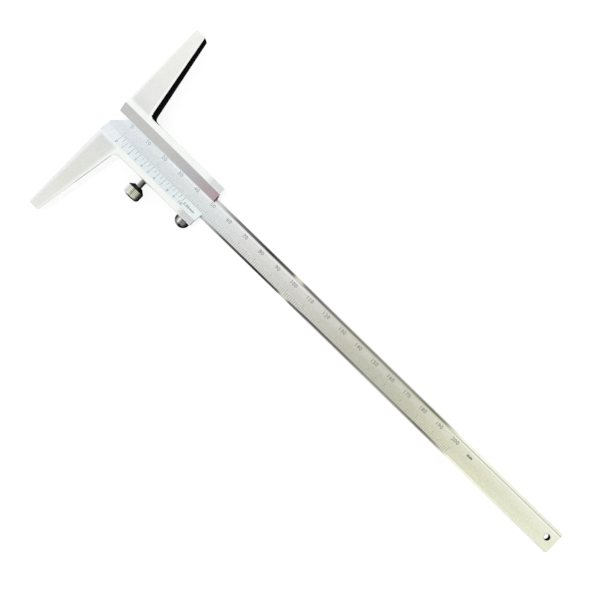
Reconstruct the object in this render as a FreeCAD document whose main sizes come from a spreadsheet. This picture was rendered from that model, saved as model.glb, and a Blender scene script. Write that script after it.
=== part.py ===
import FreeCAD, Part
import os

import Sketcher
from FreeCAD import Placement, Rotation, Vector

# A vernier depth gauge for depths up to 200 mm, built as it comes apart on a bench.
#
# +X runs from the measuring face back along the beam, +Y along the arm beside the numerals
# and +Z to the reader. Sketches measure x from the measuring face and z from the back of the
# slider. The pieces are then set so that the origin is on the surface that the closed gauge
# lies on, in the middle of its length.

# Driving dimensions in millimetres, counts excepted
DIMENSIONS = {
    # Base and slider, machined in one piece
    "base_span": 106.0,  # tip to tip of the two arms
    "arm_root_depth": 12.4,  # arm, front to back, where it leaves the slider
    "arm_tip_depth": 5.3,
    "arm_tip_thickness": 7.2,
    "slider_length": 58.4,
    "slider_width": 22.6,
    "root_fillet": 2.6,
    "outer_chamfer": 0.4,
    "back_wall": 4.2,  # metal behind the beam
    "lip_opening": 7.4,  # gap between the two bevelled lips, just over the beam
    "lip_edge": 0.25,  # thickness of each lip at its edge
    "bevel_rise": 2.35,  # from the lips' edges up to the front of the slider
    "window_width": 16.4,  # the gap between the bevels at the front of the slider
    "relief_depth": 8.5,  # how far the back wall stops short of the measuring face
    "hole_chamfer": 0.25,
    # Beam
    "beam_length": 272.5,
    "beam_width": 11.4,
    "beam_thickness": 3.1,
    "beam_bevel_width": 1.3,
    "beam_bevel_depth": 0.8,
    "beam_back_chamfer": 0.25,
    "beam_corner_chamfer": 0.6,
    "tip_face_width": 3.5,  # what the 45 degree cut leaves of the measuring end
    "hanging_hole_diameter": 3.0,
    "hanging_hole_margin": 4.5,  # hole centre to the far end
    "hanging_hole_chamfer": 0.2,
    "slide_clearance": 0.05,  # beam in its channel, on each side
    # Gib strip between the beam's lower edge and the channel wall
    "gib_thickness": 0.4,
    "gib_front_wall": 2.15,  # metal between the relief and the strip's pocket
    "gib_rear_wall": 2.05,  # metal between the pocket and the slider's rear end
    "gib_end_clearance": 0.15,
    "gib_play": 0.15,  # room behind the strip
    # Headless screws that press the strip
    "gib_screw_diameter": 2.0,
    "gib_screw_sink": 1.15,  # how far their heads lie below the slider's side
    "gib_screw_front_gap": 5.5,  # behind the root of the arm
    "gib_screw_rear_gap": 8.0,  # ahead of the rear lock screw
    "gib_screw_slot_width": 0.4,
    "gib_screw_slot_depth": 0.6,
    # What the lock screws share
    "lock_screw_diameter": 3.0,
    "screw_clearance": 0.05,  # radial, in every tapped hole
    "screw_tip_chamfer": 0.3,
    "pad_length": 1.0,
    "pad_chamfer": 0.15,
    "clamp_gap": 0.05,  # between a tight pad and the strip
    # Front lock screw, found backed out
    "front_screw_place": 29.1,  # behind the measuring face
    "front_screw_lift": 2.4,  # how far it is backed out
    "front_screw_tight_gap": 1.1,  # under its head when it is tight
    "front_neck_diameter": 4.2,
    "front_knob_diameter": 8.4,
    "front_knob_shoulder": 1.7,
    "front_knob_height": 6.2,
    "front_knob_round": 1.6,
    "knurl_depth": 0.25,
    "knurl_count": 36,
    # Rear lock screw, found tight
    "rear_screw_margin": 4.8,  # ahead of the slider's rear end
    "rear_screw_tight_gap": 0.3,
    "rear_knob_diameter": 7.1,
    "rear_knob_height": 3.7,
    "rear_knob_rim": 0.4,
}

# Sketch handles for the two axes and for the origin
H_AXIS, V_AXIS = -1, -2
START, END, CENTRE = 1, 2, 3


class Size:
    """A length that knows its value now and the expression that drives it."""

    def __init__(self, value, text):
        self.value = value
        self.text = text

    def __add__(self, other):
        return Size(self.value + other.value, f"({self.text} + {other.text})")

    def __sub__(self, other):
        return Size(self.value - other.value, f"({self.text} - {other.text})")

    def __neg__(self):
        return Size(-self.value, f"(-{self.text})")

    def __truediv__(self, number):
        return Size(self.value / number, f"({self.text} / {number})")

    def __mul__(self, number):
        return Size(self.value * number, f"({self.text} * {number})")


class Sheet:
    """The driving dimensions, written to a spreadsheet and read back as sizes."""

    def __init__(self, doc, dimensions):
        cells = doc.addObject("Spreadsheet::Sheet", "Sizes")
        for row, (name, value) in enumerate(dimensions.items(), start=1):
            cells.set(f"A{row}", name)
            cells.set(f"B{row}", str(value))
            cells.setAlias(f"B{row}", name)
        self.values = dimensions

    def __getattr__(self, name):
        return Size(self.values[name], f"Sizes.{name}")


NOTHING = Size(0.0, "0")

doc = FreeCAD.newDocument("depth_gauge")
d = Sheet(doc, DIMENSIONS)
doc.recompute()

# Places that several pieces share
measuring_face = -(d.beam_length / 2)
slider_half = d.slider_width / 2
beam_half = d.beam_width / 2
beam_back = d.back_wall + d.slide_clearance
beam_front = beam_back + d.beam_thickness
channel_front = beam_front + d.slide_clearance
lip_front = channel_front + d.lip_edge
slider_front = lip_front + d.bevel_rise
channel_half = beam_half + d.slide_clearance
screw_height = beam_back + d.beam_thickness / 2
gib_back = channel_half + d.gib_thickness
recess_half = gib_back + d.gib_play
tight_pad = gib_back + d.clamp_gap
open_pad = tight_pad + d.front_screw_lift
rear_screw_place = d.slider_length - d.rear_screw_margin
gib_pocket_front = d.relief_depth + d.gib_front_wall
gib_pocket_rear = d.slider_length - d.gib_rear_wall
gib_screw_front_place = d.arm_root_depth + d.gib_screw_front_gap
gib_screw_rear_place = rear_screw_place - d.gib_screw_rear_gap
gib_screw_length = slider_half - gib_back - d.gib_screw_sink
lock_hole = d.lock_screw_diameter + d.screw_clearance * 2
gib_screw_hole = d.gib_screw_diameter + d.screw_clearance * 2


def new_body(label):
    """A sub-part with its own origin, named after the piece."""
    body = doc.addObject("PartDesign::Body", label)
    body.Label = label
    return body


def new_sketch(body, name, role):
    """A sketch on one of the body's own origin planes."""
    plane = next(f for f in body.Origin.OriginFeatures if f.Role == role)
    sketch = body.newObject("Sketcher::SketchObject", name)
    sketch.AttachmentSupport = (plane, [""])
    sketch.MapMode = "FlatFace"
    return sketch


def hold(sketch, line, end, x, y):
    """Fix one point of a sketch by its distances from the two axes."""
    for kind, distance, axis in (("DistanceX", x, V_AXIS), ("DistanceY", y, H_AXIS)):
        if distance is NOTHING:
            sketch.addConstraint(Sketcher.Constraint("PointOnObject", line, end, axis))
            continue
        constraint = Sketcher.Constraint(kind, H_AXIS, START, line, end, distance.value)
        index = sketch.addConstraint(constraint)
        sketch.setExpression(f"Constraints[{index}]", distance.text)


def arc_between(start, finish, centre_x):
    """The arc from start to finish, counter-clockwise, with its centre on x = centre_x."""
    run = (start.x - centre_x) ** 2 - (finish.x - centre_x) ** 2
    centre_y = (run + start.y**2 - finish.y**2) / (2 * (start.y - finish.y))
    centre = Vector(centre_x, centre_y, 0)
    spoke = start - centre
    circle = Part.Circle(centre, Vector(0, 0, 1), spoke.Length)
    return Part.ArcOfCircle(circle, circle.parameter(start), circle.parameter(finish))


def outline(sketch, corners, arcs=None):
    """Close a loop through the corners, taken counter-clockwise.

    arcs maps the number of a corner to the x of a centre: the edge that leaves that
    corner is an arc about it, and every other edge is straight.
    """
    arcs = arcs or {}
    first = sketch.GeometryCount
    points = [Vector(x.value, y.value, 0) for x, y in corners]
    for number, start in enumerate(points):
        finish = points[(number + 1) % len(points)]
        if number in arcs:
            edge = arc_between(start, finish, arcs[number].value)
        else:
            edge = Part.LineSegment(start, finish)
        sketch.addGeometry(edge, False)
    for number, (x, y) in enumerate(corners):
        edge = first + number
        previous = first + (number - 1) % len(corners)
        sketch.addConstraint(Sketcher.Constraint("Coincident", previous, END, edge, START))
        hold(sketch, edge, START, x, y)
    for number, centre_x in arcs.items():
        edge = first + number
        if centre_x is NOTHING:
            sketch.addConstraint(Sketcher.Constraint("PointOnObject", edge, CENTRE, V_AXIS))
            continue
        constraint = Sketcher.Constraint(
            "DistanceX", H_AXIS, START, edge, CENTRE, centre_x.value
        )
        index = sketch.addConstraint(constraint)
        sketch.setExpression(f"Constraints[{index}]", centre_x.text)


def rectangle(sketch, left, right, bottom, top):
    """A rectangle between four distances from the axes."""
    outline(sketch, [(left, bottom), (right, bottom), (right, top), (left, top)])


def circle(sketch, diameter, x, y):
    """A circle of a given diameter about a point."""
    shape = Part.Circle(Vector(x.value, y.value, 0), Vector(0, 0, 1), diameter.value / 2)
    edge = sketch.addGeometry(shape, False)
    hold(sketch, edge, CENTRE, x, y)
    index = sketch.addConstraint(Sketcher.Constraint("Diameter", edge, diameter.value))
    sketch.setExpression(f"Constraints[{index}]", diameter.text)


def pad(body, name, sketch, length):
    """Raise a sketch along its plane's normal."""
    feature = body.newObject("PartDesign::Pad", name)
    feature.Profile = sketch
    feature.setExpression("Length", length.text)
    return feature


def cut_through(body, name, sketch):
    """Cut a sketch right through the body, both ways from its plane."""
    feature = body.newObject("PartDesign::Pocket", name)
    feature.Profile = sketch
    feature.SideType = "Symmetric"
    feature.Type = "ThroughAll"
    return feature


def cut_towards_lower_side(body, name, sketch, reach):
    """Cut a sketch on the middle plane towards -Y, as far as reach."""
    feature = body.newObject("PartDesign::Pocket", name)
    feature.Profile = sketch
    feature.Reversed = True
    feature.setExpression("Length", reach.text)
    return feature


def revolve(body, name, sketch):
    """Turn a sketch about its vertical axis."""
    feature = body.newObject("PartDesign::Revolution", name)
    feature.Profile = sketch
    feature.ReferenceAxis = (sketch, ["V_Axis"])
    feature.Angle = 360
    return feature


def edges_of(feature, wanted):
    """The names of a feature's edges that pass a test, on the shape as it is now."""
    doc.recompute()
    edges = enumerate(feature.Shape.Edges, start=1)
    return [f"Edge{number}" for number, edge in edges if wanted(edge)]


def chamfer(body, name, base, wanted, size):
    """Break those edges of the base that pass a test."""
    names = edges_of(base, wanted)
    feature = body.newObject("PartDesign::Chamfer", name)
    feature.Base = (base, names)
    feature.setExpression("Size", size.text)
    return feature


def near(one, other):
    """Whether two lengths are the same, but for rounding."""
    return abs(one - other) < 1e-4


def lies_on(edge, axis, distance):
    """Whether a whole edge lies on the plane at a distance along x, y or z."""
    box = edge.BoundBox
    low = getattr(box, axis.upper() + "Min")
    high = getattr(box, axis.upper() + "Max")
    return near(low, distance) and near(high, distance)


def is_upright(edge):
    """Whether an edge runs from back to front."""
    box = edge.BoundBox
    return box.ZLength > 1 and near(box.XLength, 0) and near(box.YLength, 0)


def set_along(body):
    """Set a piece whose sketches start at the measuring face."""
    body.setExpression(".Placement.Base.x", measuring_face.text)
    return body


def set_across(body, x, distance):
    """Set a screw or pad on the lower side, pointing at the beam from a distance."""
    place = measuring_face + x
    body.Placement = Placement(Vector(0, 0, 0), Rotation(Vector(1, 0, 0), 90))
    body.setExpression(".Placement.Base.x", place.text)
    body.setExpression(".Placement.Base.y", (-distance).text)
    body.setExpression(".Placement.Base.z", screw_height.text)
    return body


def build_base_slider():
    """The measuring base with its two tapered arms and the slider, in one piece."""
    body = new_body("base_slider")
    half_span = d.base_span / 2

    plan = new_sketch(body, "slider_plan", "XY_Plane")
    outline(
        plan,
        [
            (NOTHING, -half_span),
            (d.arm_tip_depth, -half_span),
            (d.arm_root_depth, -slider_half),
            (d.slider_length, -slider_half),
            (d.slider_length, slider_half),
            (d.arm_root_depth, slider_half),
            (d.arm_tip_depth, half_span),
            (NOTHING, half_span),
        ],
    )
    blank = pad(body, "slider_blank", plan, slider_front)

    # The concave corners where the arms leave the slider
    def is_root(edge):
        return is_upright(edge) and near(edge.BoundBox.XMin, d.arm_root_depth.value)

    names = edges_of(blank, is_root)
    roots = body.newObject("PartDesign::Fillet", "arm_roots")
    roots.Base = (blank, names)
    roots.setExpression("Radius", d.root_fillet.text)

    # The arms thin towards their tips at the back, and stay flush at the front
    thinning = new_sketch(body, "arm_thinning", "YZ_Plane")
    tip_rise = slider_front - d.arm_tip_thickness
    outline(thinning, [(slider_half, NOTHING), (half_span, NOTHING), (half_span, tip_rise)])
    outline(
        thinning, [(-slider_half, NOTHING), (-half_span, tip_rise), (-half_span, NOTHING)]
    )
    thinned = cut_through(body, "thin_arms", thinning)

    # The outer edges, without the seams of the root fillets and the faint line across the
    # back where each arm starts to thin
    def is_outer(edge):
        box = edge.BoundBox
        if is_upright(edge):
            return near(abs(box.Center.y), half_span.value) or near(
                box.XMin, d.slider_length.value
            )
        across_back = near(abs(box.YMin), slider_half.value) and near(
            abs(box.YMax), slider_half.value
        )
        return not (across_back and near(box.XMin, 0.0) and near(box.ZMax, 0.0))

    chamfer(body, "outer_edges", thinned, is_outer, d.outer_chamfer)

    # The channel for the beam, and the bevelled window over it
    channel = new_sketch(body, "channel_section", "YZ_Plane")
    rectangle(channel, -channel_half, channel_half, d.back_wall, channel_front)
    cut_through(body, "channel", channel)

    lip_half = d.lip_opening / 2
    window_half = d.window_width / 2
    window = new_sketch(body, "window_section", "YZ_Plane")
    outline(
        window,
        [
            (-lip_half, beam_back),
            (lip_half, beam_back),
            (lip_half, lip_front),
            (window_half, slider_front),
            (-window_half, slider_front),
            (-lip_half, lip_front),
        ],
    )
    cut_through(body, "window", window)

    # The pocket in the channel's lower wall that traps the gib strip
    recess = new_sketch(body, "gib_recess_face", "XZ_Plane")
    rectangle(recess, gib_pocket_front, gib_pocket_rear, d.back_wall, channel_front)
    cut_towards_lower_side(body, "gib_recess", recess, recess_half)

    # The back wall stops short of the measuring face
    relief = new_sketch(body, "relief_plan", "XY_Plane")
    rectangle(relief, NOTHING, d.relief_depth, -channel_half, channel_half)
    notch = body.newObject("PartDesign::Pocket", "relief")
    notch.Profile = relief
    notch.Reversed = True
    notch.setExpression("Length", beam_front.text)

    # Tapped holes for the lock screws and the gib screws, all from the lower side
    holes = new_sketch(body, "screw_holes_face", "XZ_Plane")
    for place, diameter in (
        (d.front_screw_place, lock_hole),
        (rear_screw_place, lock_hole),
        (gib_screw_front_place, gib_screw_hole),
        (gib_screw_rear_place, gib_screw_hole),
    ):
        circle(holes, diameter, place, screw_height)
    drilled = cut_towards_lower_side(body, "screw_holes", holes, d.slider_width)

    def is_hole_mouth(edge):
        return lies_on(edge, "y", -slider_half.value) and isinstance(edge.Curve, Part.Circle)

    chamfer(body, "hole_mouths", drilled, is_hole_mouth, d.hole_chamfer)
    return set_along(body)


def build_beam():
    """The graduated beam, bevelled along its front edges and cut to a toe at its end."""
    body = new_body("depth_beam")
    bevel_back = beam_front - d.beam_bevel_depth
    flat_half = beam_half - d.beam_bevel_width
    back_half = beam_half - d.beam_back_chamfer
    side_back = beam_back + d.beam_back_chamfer

    section = new_sketch(body, "beam_section", "YZ_Plane")
    outline(
        section,
        [
            (-back_half, beam_back),
            (back_half, beam_back),
            (beam_half, side_back),
            (beam_half, bevel_back),
            (flat_half, beam_front),
            (-flat_half, beam_front),
            (-beam_half, bevel_back),
            (-beam_half, side_back),
        ],
    )
    bar = pad(body, "beam_bar", section, d.beam_length)

    def is_far_corner(edge):
        return is_upright(edge) and near(edge.BoundBox.XMin, d.beam_length.value)

    chamfer(body, "far_corners", bar, is_far_corner, d.beam_corner_chamfer)

    toe = new_sketch(body, "toe_plan", "XY_Plane")
    cut_width = d.beam_width - d.tip_face_width
    outline(
        toe,
        [(NOTHING, beam_half - cut_width), (cut_width, beam_half), (NOTHING, beam_half)],
    )
    cut_through(body, "toe", toe)

    hole = new_sketch(body, "hanging_hole_plan", "XY_Plane")
    circle(hole, d.hanging_hole_diameter, d.beam_length - d.hanging_hole_margin, NOTHING)
    drilled = cut_through(body, "hanging_hole", hole)

    def is_hole_rim(edge):
        return isinstance(edge.Curve, Part.Circle)

    chamfer(body, "hanging_hole_rims", drilled, is_hole_rim, d.hanging_hole_chamfer)
    return set_along(body)


def build_gib_strip():
    """The thin strip that takes up the play along the beam's lower edge."""
    body = new_body("gib_strip")
    plan = new_sketch(body, "gib_plan", "XY_Plane")
    front = gib_pocket_front + d.gib_end_clearance
    rear = gib_pocket_rear - d.gib_end_clearance
    rectangle(plan, front, rear, -gib_back, -channel_half)
    plan.setExpression("AttachmentOffset.Base.z", beam_back.text)
    pad(body, "gib_bar", plan, d.beam_thickness)
    return set_along(body)


def build_gib_screw(label, place):
    """A headless slotted screw that presses the gib strip."""
    body = new_body(label)
    radius = d.gib_screw_diameter / 2
    tip = radius - d.screw_tip_chamfer
    profile = new_sketch(body, label + "_profile", "XZ_Plane")
    outline(
        profile,
        [
            (NOTHING, NOTHING),
            (tip, NOTHING),
            (radius, d.screw_tip_chamfer),
            (radius, gib_screw_length),
            (NOTHING, gib_screw_length),
        ],
    )
    revolve(body, label + "_turned", profile)

    slot = new_sketch(body, label + "_slot_section", "XZ_Plane")
    half_slot = d.gib_screw_slot_width / 2
    slot_floor = gib_screw_length - d.gib_screw_slot_depth
    rectangle(slot, -half_slot, half_slot, slot_floor, gib_screw_length)
    cut_through(body, label + "_slot", slot)
    return set_across(body, place, gib_back)


def build_pad(label, place, distance):
    """A brass pad that a lock screw pushes along its hole on to the gib strip."""
    body = new_body(label)
    radius = d.lock_screw_diameter / 2 - d.screw_clearance
    face = radius - d.pad_chamfer
    profile = new_sketch(body, label + "_profile", "XZ_Plane")
    outline(
        profile,
        [
            (NOTHING, NOTHING),
            (face, NOTHING),
            (radius, d.pad_chamfer),
            (radius, d.pad_length),
            (NOTHING, d.pad_length),
        ],
    )
    revolve(body, label + "_turned", profile)
    return set_across(body, place, distance)


def stem_profile(stem_length):
    """The corners of a lock screw's stem, from its tip up to the underside of its head."""
    radius = d.lock_screw_diameter / 2
    return [
        (NOTHING, NOTHING),
        (radius - d.screw_tip_chamfer, NOTHING),
        (radius, d.screw_tip_chamfer),
        (radius, stem_length),
    ]


def build_front_lock_screw():
    """The lock screw with the tall knurled head, one turned piece."""
    body = new_body("front_lock_screw")
    tip = open_pad + d.pad_length
    stem_length = slider_half + d.front_screw_tight_gap + d.front_screw_lift - tip
    radius = d.front_knob_diameter / 2
    end = stem_length + d.front_knob_height
    round_start = end - d.front_knob_round
    end_radius = radius - d.front_knob_round
    rounded = (radius, round_start)
    corners = stem_profile(stem_length) + [
        (d.front_neck_diameter / 2, stem_length),
        (radius, stem_length + d.front_knob_shoulder),
        rounded,
        (end_radius, end),
        (NOTHING, end),
    ]
    profile = new_sketch(body, "front_screw_profile", "XZ_Plane")
    outline(profile, corners, arcs={corners.index(rounded): end_radius})
    revolve(body, "front_screw_turned", profile)

    # One straight V groove of the knurl, then the rest around the head
    groove_section = new_sketch(body, "knurl_section", "XY_Plane")
    outline(
        groove_section,
        [
            (radius - d.knurl_depth, NOTHING),
            (radius + d.knurl_depth, -d.knurl_depth * 2),
            (radius + d.knurl_depth, d.knurl_depth * 2),
        ],
    )
    groove = cut_through(body, "knurl_groove", groove_section)
    doc.recompute()
    knurl = body.newObject("PartDesign::PolarPattern", "knurl")
    knurl.Originals = [groove]
    knurl.Axis = (groove_section, ["N_Axis"])
    knurl.Angle = 360
    knurl.setExpression("Occurrences", "Sizes.knurl_count")
    body.Tip = knurl
    return set_across(body, d.front_screw_place, tip)


def build_rear_lock_screw():
    """The lock screw with the plain domed head, one turned piece."""
    body = new_body("rear_lock_screw")
    tip = tight_pad + d.pad_length
    stem_length = slider_half + d.rear_screw_tight_gap - tip
    radius = d.rear_knob_diameter / 2
    domed = (radius, stem_length + d.rear_knob_rim)
    corners = stem_profile(stem_length) + [
        (radius, stem_length),
        domed,
        (NOTHING, stem_length + d.rear_knob_height),
    ]
    profile = new_sketch(body, "rear_screw_profile", "XZ_Plane")
    outline(profile, corners, arcs={corners.index(domed): NOTHING})
    revolve(body, "rear_screw_turned", profile)
    return set_across(body, rear_screw_place, tip)


def check_features():
    """Stop if any object failed, or if a cut removed nothing."""
    for thing in doc.Objects:
        if {"Invalid", "Error"} & set(thing.State):
            raise RuntimeError(f"{thing.Name} did not build: {thing.State}")
        cuts = ("PartDesign::Pocket", "PartDesign::PolarPattern", "PartDesign::Chamfer")
        if thing.TypeId in cuts:
            removed = thing.BaseFeature.Shape.Volume - thing.Shape.Volume
            if removed <= 0:
                raise RuntimeError(f"{thing.Name} removed nothing")


def export(bodies):
    """Write each piece to a file named after it."""
    os.makedirs("parts", exist_ok=True)
    for body in bodies:
        shape = body.Shape
        if shape.isNull() or not shape.isValid() or len(shape.Solids) != 1:
            raise RuntimeError(f"{body.Label} is not one valid solid")
        shape.exportStep(f"parts/{body.Label}.step")


pieces = [
    build_base_slider(),
    build_beam(),
    build_gib_strip(),
    build_gib_screw("gib_screw_front", gib_screw_front_place),
    build_gib_screw("gib_screw_rear", gib_screw_rear_place),
    build_pad("front_clamp_pad", d.front_screw_place, open_pad),
    build_pad("rear_clamp_pad", rear_screw_place, tight_pad),
    build_front_lock_screw(),
    build_rear_lock_screw(),
]
doc.recompute()
check_features()
export(pieces)
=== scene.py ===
"""Dresses a 200 mm vernier depth gauge: scales, numerals, threads, finishes and studio.

Lengths are in metres. The beam runs along x, the arms along y, and the scales face +z.
"""

import logging
import math
from collections.abc import Callable
from dataclasses import dataclass
from enum import Enum

import bmesh
import bpy
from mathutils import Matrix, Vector

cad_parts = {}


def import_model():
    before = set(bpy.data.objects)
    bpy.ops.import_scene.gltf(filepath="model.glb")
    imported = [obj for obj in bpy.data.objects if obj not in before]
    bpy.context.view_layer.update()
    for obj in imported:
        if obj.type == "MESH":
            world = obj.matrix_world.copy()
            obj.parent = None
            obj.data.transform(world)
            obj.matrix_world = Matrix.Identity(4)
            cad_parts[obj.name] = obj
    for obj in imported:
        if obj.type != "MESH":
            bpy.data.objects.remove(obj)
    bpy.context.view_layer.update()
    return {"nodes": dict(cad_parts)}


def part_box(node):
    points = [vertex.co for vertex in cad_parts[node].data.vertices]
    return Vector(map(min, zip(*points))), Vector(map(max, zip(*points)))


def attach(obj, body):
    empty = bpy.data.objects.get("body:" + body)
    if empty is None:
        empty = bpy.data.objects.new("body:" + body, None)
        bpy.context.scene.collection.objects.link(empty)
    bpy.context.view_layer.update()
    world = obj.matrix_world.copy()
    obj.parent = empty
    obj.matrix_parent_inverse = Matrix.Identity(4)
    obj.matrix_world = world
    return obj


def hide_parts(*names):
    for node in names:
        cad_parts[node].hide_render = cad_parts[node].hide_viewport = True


log = logging.getLogger("depth_gauge")

MM = 0.001
CAP_SHARE = 0.7  # a capital's height as a share of the font's size
Colour = tuple[int, int, int]
Tones = dict[float, Colour]
Socket = bpy.types.NodeSocket
Piece = bpy.types.Object
WHITE: Colour = (255, 255, 255)


class Grain(Enum):
    """How far the grain of a finish is drawn out, as its density along x, y and z."""

    ALONG_BEAM = (0.03, 1.0, 1.0)
    ALONG_ARMS = (1.0, 0.04, 1.0)
    AROUND_SCREW = (0.04, 1.0, 0.04)
    EVEN = (1.0, 1.0, 1.0)


class Mark(Enum):
    """The kinds of graduation line, as shares of the longest."""

    SHORT = 0.66
    MIDDLE = 0.82
    LONG = 1.0


@dataclass(frozen=True)
class Step:
    """A level at which a mask turns over, and how softly."""

    level: float
    blur: float


@dataclass(frozen=True)
class Span:
    """Two levels between which a mask is 1, and how soft its ends are."""

    low: float
    high: float
    blur: float


FACING = Step(0.5, 0.1)  # a face that looks one way, against one that does not
FLAT = Step(0.95, 0.02)
UPRIGHT = Span(-0.5, 0.5, 0.1)
BROKEN_EDGE = Span(0.5, 0.9, 0.05)
# the brightness under which painted shade and dark painted reflections turn matt
PAINTED_DARK_LEVEL = Step(0.05, 0.025)

# Modelling


def start_clean() -> None:
    """Leave edit mode and deselect everything."""
    if bpy.context.mode != "OBJECT":
        bpy.ops.object.mode_set(mode="OBJECT")
    bpy.ops.object.select_all(action="DESELECT")


def select_only(*pieces: Piece) -> None:
    """Select some pieces alone, the first of them active.

    Args:
        pieces: The pieces.
    """
    start_clean()
    for piece in pieces:
        piece.select_set(True)
    bpy.context.view_layer.objects.active = pieces[0]


def edit(piece: Piece, mode: str) -> bmesh.types.BMesh:
    """Enter edit mode on a piece, with nothing selected.

    Args:
        piece: The piece.
        mode: VERT, EDGE or FACE.

    Returns:
        Its mesh in edit mode.
    """
    select_only(piece)
    bpy.ops.object.mode_set(mode="EDIT")
    bpy.ops.mesh.select_mode(type=mode)
    bpy.ops.mesh.select_all(action="DESELECT")
    return bmesh.from_edit_mesh(piece.data)


def pick(
    piece: Piece, mode: str, wanted: Callable[[bmesh.types.BMElemSeq], bool]
) -> None:
    """Select in edit mode the vertices, edges or faces that pass a test, and no others.

    Args:
        piece: The piece, in edit mode or not.
        mode: VERT, EDGE or FACE.
        wanted: Says of one element whether it is selected.
    """
    mesh = edit(piece, mode)
    elements = {"VERT": mesh.verts, "EDGE": mesh.edges, "FACE": mesh.faces}[mode]
    for element in elements:
        element.select_set(wanted(element))
    mesh.select_flush_mode()
    bmesh.update_edit_mesh(piece.data)


def close_up(piece: Piece) -> Piece:
    """Merge doubles, turn all faces outwards and return to object mode.

    Args:
        piece: The piece, in edit mode or not.

    Returns:
        The same piece.
    """
    edit(piece, "VERT")
    bpy.ops.mesh.select_all(action="SELECT")
    bpy.ops.mesh.remove_doubles(threshold=1e-8)
    bpy.ops.mesh.normals_make_consistent(inside=False)
    bpy.ops.object.mode_set(mode="OBJECT")
    return piece


def settle(piece: Piece) -> Piece:
    """Move a piece's place and turn into its mesh, so that its object is at the origin.

    Args:
        piece: The piece.

    Returns:
        The same piece.
    """
    select_only(piece)
    bpy.ops.object.transform_apply(location=True, rotation=True, scale=True)
    return piece


def join(pieces: list[Piece], name: str) -> Piece:
    """Make one named piece of several.

    Args:
        pieces: The pieces, or one alone.
        name: The whole's name.

    Returns:
        The whole.
    """
    select_only(*pieces)
    if len(pieces) > 1:
        bpy.ops.object.join()
    whole = bpy.context.view_layer.objects.active
    whole.name = whole.data.name = name
    return whole


def apply_modifiers(piece: Piece) -> None:
    """Apply a piece's modifiers from the top down."""
    select_only(piece)
    for modifier in list(piece.modifiers):
        bpy.ops.object.modifier_apply(modifier=modifier.name)


def smooth(piece: Piece, degrees: float) -> None:
    """Shade a piece smooth, apart from edges sharper than an angle."""
    select_only(piece)
    bpy.ops.object.shade_smooth_by_angle(angle=math.radians(degrees))


def mount(piece: Piece, body: str, material: bpy.types.Material) -> Piece:
    """Dress a finished piece and let it ride on a body.

    Args:
        piece: The piece, with its place in its mesh.
        body: The body that carries it.
        material: What it is dressed in.

    Returns:
        The same piece.
    """
    piece.data.materials.clear()
    piece.data.materials.append(material)
    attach(piece, body)
    log.info("%s: %d faces on %s", piece.name, len(piece.data.polygons), body)
    return piece


# Finishes


def linear(colour: Colour) -> tuple[float, float, float, float]:
    """Turn a screen colour of 0 to 255 into the linear one that shaders take.

    Args:
        colour: The screen colour.

    Returns:
        The linear colour, with an alpha of 1.
    """
    shares = [channel / 255 for channel in colour]
    bent = [s / 12.92 if s <= 0.04045 else ((s + 0.055) / 1.055) ** 2.4 for s in shares]
    return (bent[0], bent[1], bent[2], 1.0)


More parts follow.
